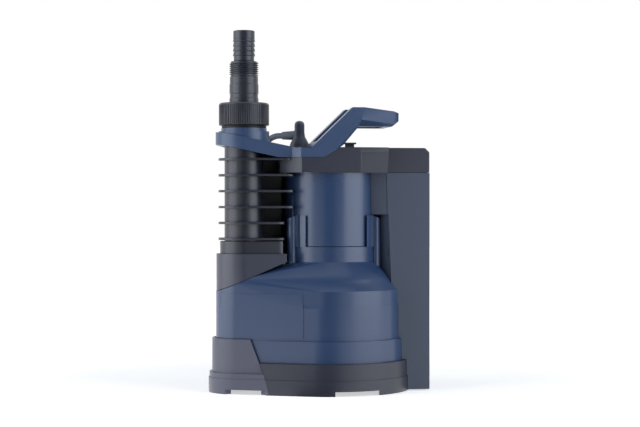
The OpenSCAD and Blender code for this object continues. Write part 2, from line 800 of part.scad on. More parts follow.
module union_nut() {
    flange_z = spigot_top + 2 + 5;
    color(black) at_outlet() difference() {
        union() {
            translate([0, 0, nut_z + 2.8]) cylinder(r = nut_r, h = nut_h - 4.3);
            translate([0, 0, nut_z]) cylinder(r1 = nut_r - 1.6, r2 = nut_r, h = 2.8 + eps);
            translate([0, 0, nut_z + nut_h - 1.5 - eps]) cylinder(r1 = nut_r, r2 = nut_r - 1.5, h = 1.5);
        }
        translate([0, 0, nut_z - 1]) cylinder(r = spigot_r + run, h = flange_z - nut_z + 1 + 0.1);
        cylinder(r = tail_wide_r + run, h = 400);
        for (i = [0:grip_count - 1]) rotate([0, 0, i * 360 / grip_count])
            translate([nut_r, 0, nut_z + 3]) rotate([0, 0, 45]) translate([-0.9, -0.9, 0]) cube([1.8, 1.8, nut_h - 6]);
    }
}

module hose_tail() {
    foot = spigot_top + 2;
    crest = thread_r;
    neck_in_r = barb_r - 0.9;
    root = thread_r - 1.4;
    turns = floor(thread_h / thread_pitch);
    nut_end = nut_z + nut_h;
    lower_h = thread_share * (tail_top - nut_end);
    thread_z = nut_end + lower_h;
    ridge_z = thread_z + 1;
    narrow_z = thread_z + thread_h;
    narrow_h = tail_top - narrow_z;
    color(black) at_outlet() difference() {
        rotate_extrude() polygon(concat(
            [[0, foot], [spigot_r - 0.4, foot], [spigot_r - 0.4, foot + 5], [tail_wide_r, foot + 5],
             [tail_wide_r, nut_end + 0.18 * lower_h], [tail_wide_r - 0.4, nut_end + 0.2 * lower_h],
             [tail_wide_r - 0.4, nut_end + 0.35 * lower_h], [tail_wide_r, nut_end + 0.37 * lower_h],
             [tail_wide_r, nut_end + 0.705 * lower_h], [tail_mid_r, nut_end + 0.73 * lower_h],
             [tail_mid_r, thread_z], [root, thread_z]],
            [for (i = [0:turns - 1], k = [0:3]) [
                k == 0 || k == 3 ? root : crest,
                ridge_z + i * thread_pitch + [0.1, 0.9, 1.2, 2.0][k]
            ]],
            [[root, narrow_z], [neck_in_r, narrow_z + 0.03 * narrow_h], [neck_in_r, narrow_z + 0.165 * narrow_h]],
            [for (i = [0:3], k = [0:1]) [
                k == 0 ? neck_in_r + 0.2 : barb_r,
                narrow_z + narrow_h * (0.173 + i * 0.156 + k * 0.055)
            ]],
            [[barb_r - 0.4, narrow_z + 0.717 * narrow_h], [barb_r - 0.4, tail_top - 0.8], [barb_r - 1.2, tail_top], [0, tail_top]]
        ));
        translate([0, 0, foot - 1]) cylinder(r = 14, h = 30);
        translate([0, 0, foot + 29 - eps]) cylinder(r1 = 14, r2 = tail_bore_r, h = 12);
        translate([0, 0, foot]) cylinder(r = tail_bore_r, h = 200);
    }
}

// Handle
handle_screw_at = [[-46, -2], [-46, -38]];
handle_back = -handle_front + handle_w;
opening_y = [-handle_front + arm_w, handle_back - arm_w];

// Side view of the strap, its riser and the grip
module handle_side() {
    t = tan(strap_slope);
    top_z = 292.3;
    x0 = -outlet_dx - 40;
    z0 = top_z + 7 * t;
    knee = -48;
    polygon([
        [x0, z0], [knee, z0 - (knee - x0) * t], [knee + 2, band_z + 10.3], [-30.2, band_z + 10.3],
        [16.6, grip_top], [30, grip_top], [64.5, grip_top - 4], [grip_reach, grip_top - 6.2],
        [grip_reach, grip_top - grip_t + 6], [grip_reach - 6.3, grip_top - grip_t], [24.6, grip_top - grip_t],
        [6.4, 277], [-15.6, band_z], [-66, band_z], [x0, z0 - strap_t]
    ]);
}

module handle_body() {
    at_motor() difference() {
        translate([-outlet_dx, -outlet_dy, neck_z - 2]) {
            cylinder(r = handle_collar_r, h = nut_z - neck_z - 1.8);
            cylinder(r = neck_r + 1.6, h = nut_z - neck_z + 1.6);
        }
        translate([-outlet_dx, -outlet_dy, 200]) cylinder(r = neck_r, h = 200);
    }
    at_motor() difference() {
        intersection() {
            side_view(-80, 80) handle_side();
            translate([0, 0, 200]) linear_extrude(200) union() {
                translate([-outlet_dx, -outlet_dy]) circle(r = 32);
                polygon([
                    [-outlet_dx, 0.03 - outlet_dy - 32], [-50.6, 0.03 - outlet_dy - 32], [-42, -handle_front], [grip_reach - 4, -handle_front],
                    [grip_reach, -handle_front + 4], [grip_reach, handle_back - 4], [grip_reach - 4, handle_back],
                    [-76, handle_back], [-outlet_dx, 31.97 - outlet_dy]
                ]);
            }
        }
        translate([-outlet_dx, -outlet_dy, 200]) cylinder(r = neck_r, h = 200);
        box(-18, grip_reach - 14, opening_y[0], opening_y[1], cover_top, 400);
        side_view(opening_y[0], opening_y[1]) polygon([[-22, 400], [-22, cover_top + 0.2], [0, cover_top + 0.2], [0, 400]]);
    }
}

module carry_handle() {
    color(blue) difference() {
        handle_body();
        at_motor() for (p = handle_screw_at) translate([p[0], p[1], band_z - 1]) {
            cylinder(r = 1.5, h = 40);
            translate([0, 0, 8]) cylinder(r = 3.4, h = 40);
        }
    }
}

module handle_screws() {
    color(steel) at_motor() for (p = handle_screw_at) translate([p[0], p[1], 0]) {
        translate([0, 0, band_z + 7]) cylinder(r = 3.2, h = 2);
        translate([0, 0, band_z - 9]) cylinder(r = 1.5, h = 16 + eps);
    }
}

// Cable, coiled close behind the pump
gland_x = -gland_dx;
cable_r = cable_d / 2;
coil_mean = coil_wraps_d * cable_d / 2;
coil_out = coil_mean + (coil_wide + 1) * cable_r;
coil_in = coil_mean - (coil_wide + 1) * cable_r;
coil_h = coil_high * cable_d;
coil_at = [0, 192];
plug_r = 17;
leave = [-1, 1, 0] / sqrt(2);
gland_exit = [gland_x, gland_dy, 291] + 24 * leave;

module cable_gland() {
    color(slate) at_motor() translate([gland_x, gland_dy, 0]) difference() {
        union() {
            rotate_extrude() polygon([
                [0, cover_top], [12, cover_top], [12, cover_top + 2], [10.5, 282], [6.6, 289], [5.8, 294],
                [5.8, 303], [5, 305.6], [3, 307.2], [0, 307.8]
            ]);
            translate([0, 0, 291]) rotate([0, 90, 135]) cylinder(r1 = 5.8, r2 = 4.6, h = 24);
        }
        translate([0, 0, cover_top - 1]) cylinder(r = 4, h = 16);
    }
}

// Middle line of the cable, from the strain relief down the back of the pump to the coil
cable_route = [
    gland_exit, gland_exit + 6 * leave, [-63.6, 52.2, 287.2], [-68.2, 56.8, 282.8], [-71, 59.6, 277], [-73.4, 62, 263],
    [-73.4, 62, 200], [-73.4, 62, 130], [-73.4, 62, 55], [-73.4, 68.9, 29.3], [-73.4, 77, 18.5], [-73.4, 87.8, 10.4],
    [-73.4, 101, 5.2], [-73.4, 113.5, 3.6], [-75, 128, 3.6], [-78.7, 147, 3.6], [-82, 165, 3.6]
];
// Middle line of the cable's end, from the top of the coil to the plug
lead_route = [
    for (p = [
        [-78.7, 0, 26], [-77.5, 12, 28], [-74, 25, 31.5], [-67, 38, 36], [-57, 49.5, 40], [-44, 58, 43.5],
        [-32, 62.5, 45], [-27, 63, 45]
    ]) p + [coil_at[0], coil_at[1], 0]
];

function unit(v) = v / norm(v);
function heading(p, i) = unit(p[min(i + 1, len(p) - 1)] - p[max(i - 1, 0)]);
function across(t, aside) = unit(cross(t, aside));

// Round cord along a route; no stretch of the route may run along the direction aside
module cord(p, r, aside) {
    sides = 10;
    n = len(p);
    rings = [for (i = [0:n - 1], k = [0:sides - 1])
        let (t = heading(p, i), u = across(t, aside), v = cross(t, u), a = k * 360 / sides)
        p[i] + r * (cos(a) * u + sin(a) * v)];
    skin = [for (i = [0:n - 2], k = [0:sides - 1])
        [i * sides + k, (i + 1) * sides + k, (i + 1) * sides + (k + 1) % sides, i * sides + (k + 1) % sides]];
    foot = [[for (k = [0:sides - 1]) k]];
    tip = [[for (k = [0:sides - 1]) (n - 1) * sides + sides - 1 - k]];
    polyhedron(points = rings, faces = concat(foot, skin, tip), convexity = 8);
}

module power_cable() { color(black) at_motor() cord(cable_route, cable_r, [1, 1, 0.05]); }

module cable_coil() { color(black) at_motor() translate([coil_at[0], coil_at[1], 0]) tube(coil_out, coil_in, 0, coil_h); }

module cable_tie() {
    color(black) at_motor() translate([coil_at[0], coil_at[1], 0]) difference() {
        box(coil_in - 1.2, coil_out + 1.2, -3, 3, 0, coil_h + 1.2);
        tube(coil_out, coil_in, -1, coil_h);
    }
}

module plug_lead() { color(black) at_motor() cord(lead_route, cable_r, [0, 0, 1]); }

module mains_plug() {
    color(black) at_motor() translate([0, coil_at[1] + coil_mean, coil_h + plug_r]) rotate([0, 90, 0]) {
        translate([0, 0, -27]) cylinder(r1 = 5, r2 = 9, h = 24);
        translate([0, 0, -3 - eps]) cylinder(r1 = 9, r2 = plug_r, h = 6);
        translate([0, 0, 3 - 2 * eps]) cylinder(r = plug_r, h = 27);
        for (s = [-1, 1]) translate([0, s * 9.5, 30 - 3 * eps]) cylinder(r = 2.4, h = 18);
    }
}

suction_base();
base_end_panel();
base_screws();
pump_housing();
impeller();
impeller_nut();
shaft_seal();
motor_shaft();
rotor_core();
lower_bearing();
upper_bearing();
motor_cup();
upper_bracket();
stator_core();
stator_windings();
motor_shell();
shell_screws();
shell_seal();
top_plate();
top_cover();
cover_screws();
capacitor();
mode_lever();
float_housing();
float_cap();
float_body();
float_magnet();
guide_rod();
reed_switch();
elbow_cover();
discharge_pipe();
pipe_seal();
union_gasket();
union_nut();
hose_tail();
carry_handle();
handle_screws();
cable_gland();
power_cable();
cable_coil();
cable_tie();
plug_lead();
mains_plug();
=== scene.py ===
import json
import math
import bpy
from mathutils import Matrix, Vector


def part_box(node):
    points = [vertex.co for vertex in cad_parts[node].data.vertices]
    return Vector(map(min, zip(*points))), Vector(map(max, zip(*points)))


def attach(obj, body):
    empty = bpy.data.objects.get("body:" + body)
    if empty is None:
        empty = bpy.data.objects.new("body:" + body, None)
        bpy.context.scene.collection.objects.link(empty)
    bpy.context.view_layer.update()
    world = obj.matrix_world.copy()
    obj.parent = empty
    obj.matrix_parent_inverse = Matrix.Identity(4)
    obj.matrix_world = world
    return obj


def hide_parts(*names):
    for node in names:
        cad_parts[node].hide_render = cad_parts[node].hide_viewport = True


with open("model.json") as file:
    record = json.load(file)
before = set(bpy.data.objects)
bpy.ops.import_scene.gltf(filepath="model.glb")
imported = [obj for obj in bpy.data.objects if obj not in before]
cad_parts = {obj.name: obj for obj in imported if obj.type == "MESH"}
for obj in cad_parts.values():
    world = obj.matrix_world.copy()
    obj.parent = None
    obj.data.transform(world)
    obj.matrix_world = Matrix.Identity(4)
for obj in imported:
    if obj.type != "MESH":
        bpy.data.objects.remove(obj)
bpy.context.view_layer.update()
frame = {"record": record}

mm = 0.001
weldGap = 0.00001      # points closer than this are one
shaftFrom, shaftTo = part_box("motor_shaft")
nutFrom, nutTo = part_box("union_nut")
motorX = (shaftFrom.x + shaftTo.x) / 2      # the motor axis, where Y is 0
outletAt = (nutFrom + nutTo) / 2            # the outlet axis runs up through here


# working helpers
def addObject(name, data):
    made = bpy.data.objects.new(name, data)
    bpy.context.collection.objects.link(made)
    return made


def finishPiece(piece, body, material, stands=()):
    piece.data.materials.clear()
    piece.data.materials.append(material)
    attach(piece, body)
    if stands:
        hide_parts(*stands)
    return piece


def use(piece):
    bpy.ops.object.select_all(action="DESELECT")
    piece.select_set(True)
    bpy.context.view_layer.objects.active = piece


def edit(piece):
    use(piece)
    bpy.ops.object.mode_set(mode="EDIT")


def leave():
    bpy.ops.object.mode_set(mode="OBJECT")


def selectWhere(piece, kind, test):      # only the points, edges or faces that pass, in edit mode
    edit(piece)
    bpy.ops.mesh.select_mode(type=kind)
    bpy.ops.mesh.select_all(action="DESELECT")
    leave()
    data = piece.data
    for part in {"VERT": data.vertices, "EDGE": data.edges, "FACE": data.polygons}[kind]:
        part.select = test(part)
    edit(piece)


def applyModifier(piece, kind, **settings):
    use(piece)
    worked = piece.modifiers.new("work", kind)
    for name, value in settings.items():
        setattr(worked, name, value)
    bpy.ops.object.modifier_apply(modifier=worked.name)


def roundEdges(piece, width, segments=2, angle=28):      # width in mm, for edges sharper than the angle
    applyModifier(piece, "BEVEL", width=width * mm, segments=segments, limit_method="ANGLE",
                  angle_limit=math.radians(angle), miter_outer="MITER_ARC")
    bpy.ops.object.shade_smooth_by_angle(angle=math.radians(45))
    applyModifier(piece, "WEIGHTED_NORMAL", keep_sharp=True, weight=60)


def bevelWhere(piece, test, offset, segments=1):      # only the edges whose two ends pass the test
    points = piece.data.vertices
    selectWhere(piece, "EDGE", lambda edge: test(*(points[at].co for at in edge.vertices)))
    bpy.ops.mesh.bevel(offset=offset * mm, segments=segments, affect="EDGES")
    leave()


def nudge(piece, test, shift):      # the points that pass the test, each pushed its own way
    for spot in piece.data.vertices:
        if test(spot.co):
            spot.co += shift(spot.co)


def moveMesh(piece, place):
    edit(piece)
    bpy.ops.mesh.select_all(action="SELECT")
    bpy.ops.transform.translate(value=place)
    leave()


def fromMotor(x, y, z):      # mm from the motor axis and the ground
    return (motorX + x * mm, y * mm, z * mm)


def newBox(name, size):      # a box of this size in mm, left in edit mode with all of it selected
    bpy.ops.object.select_all(action="DESELECT")
    bpy.ops.mesh.primitive_cube_add(size=1, location=(0, 0, 0))
    box = bpy.context.object
    box.name = name
    edit(box)
    bpy.ops.mesh.select_all(action="SELECT")
    bpy.ops.transform.resize(value=tuple(v * mm for v in size))
    return box


def cutWith(piece, cutter):
    applyModifier(piece, "BOOLEAN", operation="DIFFERENCE", solver="EXACT", object=cutter)
    bpy.data.objects.remove(cutter)


def cutAway(piece, size, place, lean=0):      # a box of this size taken out of the piece
    cutter = newBox("cutter", size)
    if lean:
        bpy.ops.transform.rotate(value=math.radians(lean), orient_axis="Y", center_override=(0, 0, 0))
    bpy.ops.transform.translate(value=fromMotor(*place))
    leave()
    cutWith(piece, cutter)


def joinPieces(first, *others):
    use(first)
    for other in others:
        other.select_set(True)
    bpy.ops.object.join()
    return first


# camera
cameraSet = {
    "lens": 90, "sensor": 36, "distance": 1.84, "turn": 9, "height": 0.2106, "tilt": 0.32, "aside": 0.0115}


def placeCamera(s):
    turn = math.radians(s["turn"])
    camera = bpy.data.cameras.new("photoCamera")
    camera.lens = s["lens"]
    camera.sensor_width = s["sensor"]
    camera.sensor_fit = "HORIZONTAL"
    holder = addObject("photoCamera", camera)
    holder.location = (
        motorX - s["distance"] * math.sin(turn) - s["aside"] * math.cos(turn),
        -s["distance"] * math.cos(turn) + s["aside"] * math.sin(turn),
        s["height"])
    holder.rotation_euler = (math.radians(90 - s["tilt"]), 0, -turn)
    return holder


bpy.context.scene.camera = placeCamera(cameraSet)
print("camera placed")


# materials
def shadeNode(tree, kind, **settings):
    made = tree.nodes.new(kind)
    for name, value in settings.items():
        if hasattr(made, name):
            setattr(made, name, value)
        else:
            made.inputs[name].default_value = value
    return made


def mathNode(tree, operation, *values):      # each value is a number or another node's output
    made = shadeNode(tree, "ShaderNodeMath", operation=operation)
    for socket, value in zip(made.inputs, values):
        if isinstance(value, bpy.types.NodeSocket):
            tree.links.new(value, socket)
        else:
            socket.default_value = value
    return made.outputs[0]


def rangeNode(tree, value, begin, end, low=0, high=1, curve="LINEAR"):
    made = shadeNode(tree, "ShaderNodeMapRange", interpolation_type=curve)
    for name, number in (("From Min", begin), ("From Max", end), ("To Min", low), ("To Max", high)):
        made.inputs[name].default_value = number
    tree.links.new(value, made.inputs["Value"])
    return made.outputs["Result"]


grainSet = {
    "scale": 1500, "detail": 2.0, "roughness": 0.5, "bump": 0.03, "height": 0.2 * mm,
    "mottleScale": 5.0, "mottleDetail": 1.0, "mottleFrom": 0.3, "mottleTo": 0.7,
    "tone": 0.03, "sheen": 0.03}


def makeGrainGroup(s):      # fine moulded grain: a height for the bump, and a slow mask for sheen and tone
    group = bpy.data.node_groups.new("mouldedGrain", "ShaderNodeTree")
    scale = group.interface.new_socket("Grain Scale", in_out="INPUT", socket_type="NodeSocketFloat")
    scale.default_value = s["scale"]
    group.interface.new_socket("Height", in_out="OUTPUT", socket_type="NodeSocketFloat")
    group.interface.new_socket("Mottle", in_out="OUTPUT", socket_type="NodeSocketFloat")
    inside = group.nodes.new("NodeGroupInput")
    outside = group.nodes.new("NodeGroupOutput")
    place = shadeNode(group, "ShaderNodeTexCoord")
    fine = shadeNode(group, "ShaderNodeTexNoise", Detail=s["detail"], Roughness=s["roughness"])
    slow = shadeNode(group, "ShaderNodeTexNoise", Scale=s["mottleScale"], Detail=s["mottleDetail"],
                     Roughness=s["roughness"])
    for noise in (fine, slow):
        group.links.new(place.outputs["Object"], noise.inputs["Vector"])
    group.links.new(inside.outputs["Grain Scale"], fine.inputs["Scale"])
    group.links.new(fine.outputs["Fac"], outside.inputs["Height"])
    group.links.new(slow.outputs["Fac"], outside.inputs["Mottle"])
    return group


grainGroup = makeGrainGroup(grainSet)


def toLinear(shade):
    return shade / 12.92 if shade <= 0.04045 else ((shade + 0.055) / 1.055) ** 2.4


def rgb(red, green, blue):      # 0 to 255 as seen, to the shader's own values
    return (toLinear(red / 255), toLinear(green / 255), toLinear(blue / 255), 1)


def mouldedPlastic(name, colour, roughness, specular=0.5, metallic=0):
    material = bpy.data.materials.new(name)
    material.use_nodes = True
    tree = material.node_tree
    shader = tree.nodes["Principled BSDF"]
    shader.inputs["Specular IOR Level"].default_value = specular
    shader.inputs["Metallic"].default_value = metallic
    skin = shadeNode(tree, "ShaderNodeGroup", node_tree=grainGroup)
    skin.inputs["Grain Scale"].default_value = grainSet["scale"]
    blend = shadeNode(tree, "ShaderNodeMix", data_type="RGBA")
    for socket, share in ((6, 1 - grainSet["tone"]), (7, 1 + grainSet["tone"])):      # its two colours
        blend.inputs[socket].default_value = tuple(c * share for c in colour[:3]) + (1,)
    gloss = rangeNode(tree, skin.outputs["Mottle"], grainSet["mottleFrom"], grainSet["mottleTo"],
                      roughness - grainSet["sheen"], roughness + grainSet["sheen"])
    relief = shadeNode(tree, "ShaderNodeBump", Strength=grainSet["bump"], Distance=grainSet["height"])
    tree.links.new(skin.outputs["Mottle"], blend.inputs["Factor"])
    tree.links.new(blend.outputs[2], shader.inputs["Base Color"])
    tree.links.new(gloss, shader.inputs["Roughness"])
    tree.links.new(skin.outputs["Height"], relief.inputs["Height"])
    tree.links.new(relief.outputs["Normal"], shader.inputs["Normal"])
    return material


bluePlastic = mouldedPlastic("bluePlastic", rgb(46, 68, 104), 0.3, 0.65)
handlePlastic = mouldedPlastic("handlePlastic", rgb(57, 78, 112), 0.34, 0.6)
darkPlastic = mouldedPlastic("darkPlastic", rgb(46, 49, 62), 0.38, 0.55)
slatePlastic = mouldedPlastic("slatePlastic", rgb(72, 80, 96), 0.45, 0.45)
blackPlastic = mouldedPlastic("blackPlastic", rgb(31, 34, 47), 0.36, 0.65)
greyPlastic = mouldedPlastic("greyPlastic", rgb(60, 63, 78), 0.36, 0.65)
# the end panel's dark plastic made lighter: painted light, where the panel catches the left softbox
paintedLightPanelPlastic = mouldedPlastic("paintedLightPanelPlastic", rgb(90, 91, 106), 0.4)
# painted shade: a near-black colour for faces that lie in shade
paintedShadePlastic = mouldedPlastic("paintedShadePlastic", rgb(9, 11, 13), 0.5, 0.3)
cableRubber = mouldedPlastic("cableRubber", rgb(62, 72, 86), 0.5)
steel = mouldedPlastic("turnedSteel", rgb(150, 152, 156), 0.3, metallic=1)
copper = mouldedPlastic("lacqueredCopper", rgb(150, 84, 50), 0.35)
foam = mouldedPlastic("floatFoam", rgb(205, 180, 80), 0.6)

nodeFinish = {
    "blue_plastic": bluePlastic, "dark_plastic": darkPlastic, "slate_plastic": slatePlastic,
    "black_plastic": blackPlastic, "float_foam": foam, "steel": steel, "copper": copper,
    "rubber": cableRubber}
for part in frame["record"]["subparts"]:
    shown = bpy.data.objects.get(part["node"])
    shown.data.materials.clear()
    shown.data.materials.append(nodeFinish[part["material_slot"]])
print("materials made")


# power cable: 10 m, down the back of the pump and coiled behind it
cableSet = {
    "radius": 3.5, "exit": (-49.37, 37.97, 291), "stub": 6, "bend": 28, "bendSteps": 12, "dropSteps": 8,
    "footBend": 51.5, "footHeight": 55, "footSteps": 15, "crossSteps": 8,
    "coilMiddle": (0, 192), "outer": 84, "inner": 42, "layers": 4, "layerTurns": 6, "riseTurns": 0.25,
    "lastShort": 0.75, "stepsPerTurn": 30, "leadSteps": 5,
    "lead": [(-78.6, 6, 25.2), (-77.5, 12, 27), (-74, 25, 31.5), (-67, 38, 36), (-57, 49.5, 40),
             (-44, 58, 43.5), (-32, 62.5, 45), (-27, 63, 45)]}


def smoothLine(points, steps):      # Catmull-Rom through the points
    line = []
    for at in range(len(points) - 1):
        before = points[max(at - 1, 0)]
        after = points[min(at + 2, len(points) - 1)]
        one, two = points[at], points[at + 1]
        for step in range(steps):
            t = step / steps
            line.append(0.5 * ((2 * one) + (two - before) * t
                               + (2 * before - 5 * one + 4 * two - after) * t ** 2
                               + (3 * one - before - 3 * two + after) * t ** 3))
    return line + [points[-1]]


def ease(t):
    return t * t * (3 - 2 * t)


def quarter(steps):      # the angles of a quarter turn, without its start
    return [math.radians(at * 90 / steps) for at in range(1, steps + 1)]


def cableDrop(s):      # out of the gland, over and down the back, and along the floor to the coil
    out = Vector((-1, 1, 0)).normalized()
    start = Vector(s["exit"])
    line = [start, start + out * s["stub"]]
    for a in quarter(s["bendSteps"]):
        line.append(start + out * (s["stub"] + s["bend"] * math.sin(a))
                    - Vector((0, 0, s["bend"] * (1 - math.cos(a)))))
    top = line[-1]
    for at in range(1, s["dropSteps"] + 1):
        line.append(Vector((top.x, top.y, top.z + (s["footHeight"] - top.z) * at / s["dropSteps"])))
    for a in quarter(s["footSteps"]):
        line.append(Vector((top.x, top.y + s["footBend"] * (1 - math.cos(a)),
                            s["footHeight"] - s["footBend"] * math.sin(a))))
    foot = line[-1]
    edge = s["coilMiddle"][0] - s["outer"]
    for at in range(1, s["crossSteps"]):
        t = at / s["crossSteps"]
        line.append(Vector((foot.x + (edge - foot.x) * ease(t), foot.y + (s["coilMiddle"][1] - foot.y) * t,
                            s["radius"])))
    return line


def cableCoil(s):      # inwards and outwards in turn, one layer on another
    middle = Vector((*s["coilMiddle"], 0))
    line = []
    turnsDone = 0.0

    def onCoil(turns, reach, height):
        a = math.pi - 2 * math.pi * turns
        line.append(Vector((middle.x + reach * math.cos(a), middle.y + reach * math.sin(a), height)))

    for layer in range(s["layers"]):
        begin, end = (s["outer"], s["inner"]) if layer % 2 == 0 else (s["inner"], s["outer"])
        height = s["radius"] + layer * 2 * s["radius"]
        last = layer == s["layers"] - 1
        length = s["layerTurns"] - s["lastShort"] if last else s["layerTurns"]
        count = int(round(length * s["stepsPerTurn"]))
        for at in range(count + (1 if last else 0)):
            t = at / count
            onCoil(turnsDone + t * length, begin + (end - begin) * t * length / s["layerTurns"], height)
        turnsDone += length
        if not last:
            rise = int(round(s["riseTurns"] * s["stepsPerTurn"]))
            for at in range(rise):
                t = at / rise
                onCoil(turnsDone + t * s["riseTurns"], end, height + 2 * s["radius"] * ease(t))
            turnsDone += s["riseTurns"]
    lead = line[-2:] + [Vector(p) + middle for p in s["lead"]]
    return line + smoothLine(lead, s["leadSteps"])[s["leadSteps"] + 1:]


cablePath = [Vector(fromMotor(*p)) for p in cableDrop(cableSet) + cableCoil(cableSet)]
cableCurve = bpy.data.curves.new("powerCable", "CURVE")
cableCurve.dimensions = "3D"
cableCurve.bevel_depth = cableSet["radius"] * mm
cableCurve.bevel_resolution = 3
cableCurve.use_fill_caps = True
strand = cableCurve.splines.new("POLY")
strand.points.add(len(cablePath) - 1)
for spot, place in zip(strand.points, cablePath):
    spot.co = (*place, 1)
powerCable = addObject("powerCable", cableCurve)
finishPiece(powerCable, "pump", cableRubber, ("power_cable", "cable_coil", "plug_lead"))
measured = sum((b - a).length for a, b in zip(cablePath, cablePath[1:]))
print("power cable laid:", round(measured, 3), "m")


# soft-edged mouldings: merged copies of the CAD's own forms, with the edges rounded as a mould leaves them
creaseSet = {"from": 97, "at": 114.6, "to": 117, "inside": 77, "outside": 82.5, "out": 2.2,
             "flatFrom": -26.4, "flatLong": 86}


def shapeHousing(piece):      # the wall stays upright to the crease
    k = creaseSet

    def crease(p):
        r = math.hypot(p.x - motorX, p.y)
        return (k["from"] + 0.3) * mm < p.z < k["to"] * mm and k["inside"] * mm < r < k["outside"] * mm

    def shift(p):      # less towards the foot of the wall, and fading along the flat
        rise = min((p.z / mm - k["from"]) / (k["at"] - k["from"]), 1)
        along = max(k["flatFrom"] - (p.x - motorX) / mm, 0) / k["flatLong"] if p.y < 0 else 0
        return Vector((p.x - motorX, p.y, 0)).normalized() * k["out"] * mm * rise * (1 - along)
    nudge(piece, crease, shift)


leverSet = {"above": 275, "raise": 2.4}


def shapeLever(piece):      # the plate stands clear of the cover on its stem
    nudge(piece, lambda p: p.z > leverSet["above"] * mm, lambda p: Vector((0, 0, leverSet["raise"] * mm)))


floatSet = {
    "x": 59.1, "half": 42, "deep": 1.0, "reach": 6, "wide": 0.9, "long": 118, "middle": 186, "lean": 1.54}


def shapeFloat(piece):      # the line down the leaning corner of the box, front and back
    k = floatSet
    for side in (-1, 1):
        cutAway(piece, (k["wide"], k["reach"], k["long"]),
                (k["x"], side * (k["half"] - k["deep"] + k["reach"] / 2), k["middle"]), k["lean"])


notchSet = {"side": 58, "near": 0.8, "from": 29, "to": 42, "rimFrom": 268, "rimTo": 53.5, "wallTo": 46.7}


def shapeCover(piece):      # the notch's wall meets the float box, and the rim runs on above it
    k = notchSet

    def corner(p):
        onSide = abs(p.x - motorX - k["side"] * mm) < k["near"] * mm
        return onSide and k["from"] * mm < abs(p.y) < k["to"] * mm

    def shift(p):
        to = k["rimTo"] if p.z > k["rimFrom"] * mm else k["wallTo"]
        return Vector((0, math.copysign(to * mm - abs(p.y), p.y), 0))
    nudge(piece, corner, shift)


gripSet = {
    "front": -57, "near": 0.3, "turnFrom": [(30, 319.4), (24.6, 298.4)], "turnAt": 60, "turnBack": 5,
    "underside": [(6.4, 277), (24.6, 298.4), (63.1, 298.4), (69.4, 304.4)], "chamfer": 6}


def shapeHandle(piece):      # the grip's front turned a little, a broad chamfer under it and the riser
    k = gripSet
    ends = [Vector(fromMotor(x, k["front"], z)) for x, z in k["turnFrom"]]
    corners = [Vector((motorX + x * mm, z * mm)) for x, z in k["underside"]]

    def turning(spot):
        return spot.co.x > motorX + k["turnAt"] * mm and abs(spot.co.y - k["front"] * mm) < 0.1 * mm

    def atCorner(p):
        low = min((Vector((p.x, p.z)) - c).length for c in corners) < k["near"] * mm
        return low and p.y < (k["front"] + k["turnBack"] + 0.1) * mm
    selectWhere(piece, "VERT", lambda spot: any((spot.co - end).length < k["near"] * mm for end in ends))
    bpy.ops.mesh.vert_connect()
    leave()
    selectWhere(piece, "VERT", turning)
    bpy.ops.transform.translate(value=(0, k["turnBack"] * mm, 0))
    leave()
    bevelWhere(piece, lambda one, two: atCorner(one) and atCorner(two), k["chamfer"])


towerSet = {"x": 48, "y": 28, "above": 190, "hole": 4.2, "inner": 51.3, "wall": 53}
grooveSet = {"middle": 42.2, "wide": 3.2, "floor": 34.9, "deep": 20, "from": 160, "to": 205}
jointSet = {"height": 163, "radius": 53, "near": 0.2, "chamfer": 0.9}


def shapeShell(piece):      # the screw holes clear of the shell's wall, and the joint as a dark line
    t, k = towerSet, grooveSet

    def reach(p):
        return math.hypot(p.x - motorX, p.y)

    def inHole(p):
        clear = math.hypot(abs(p.x - motorX) - t["x"] * mm, abs(p.y) - t["y"] * mm)
        high = p.z > t["above"] * mm
        return high and clear < t["hole"] * mm and t["inner"] * mm < reach(p) < t["wall"] * mm

    def toWall(p):
        return Vector((p.x - motorX, p.y, 0)).normalized() * (t["wall"] * mm - reach(p))

    def atJoint(p):
        level = abs(p.z - jointSet["height"] * mm) < jointSet["near"] * mm
        return level and abs(reach(p) - jointSet["radius"] * mm) < jointSet["near"] * mm
    nudge(piece, inHole, toWall)
    for side in (-1, 1):      # an upright groove between each tower and its collar
        for face in (-1, 1):
            cutAway(piece, (k["wide"], k["deep"], k["to"] - k["from"]),
                    (side * k["middle"], face * (k["floor"] + k["deep"] / 2), (k["from"] + k["to"]) / 2))
    bevelWhere(piece, lambda one, two: atJoint(one) and atJoint(two), jointSet["chamfer"])


shaped = {
    "carryHandle": shapeHandle, "motorShell": shapeShell, "pumpHousing": shapeHousing,
    "topCover": shapeCover, "floatHousing": shapeFloat, "modeLever": shapeLever}
flatAngle = 0.5      # faces that meet flatter than this are one


def softCopy(name, node, body, slotName, material, width):
    piece = addObject(name, bpy.data.objects[node].data.copy())
    edit(piece)
    bpy.ops.mesh.select_all(action="SELECT")
    bpy.ops.mesh.remove_doubles(threshold=weldGap)
    bpy.ops.mesh.dissolve_limited(angle_limit=math.radians(flatAngle))
    leave()
    if name in shaped:
        shaped[name](piece)
    roundEdges(piece, width)
    return finishPiece(piece, body, material, (node,))


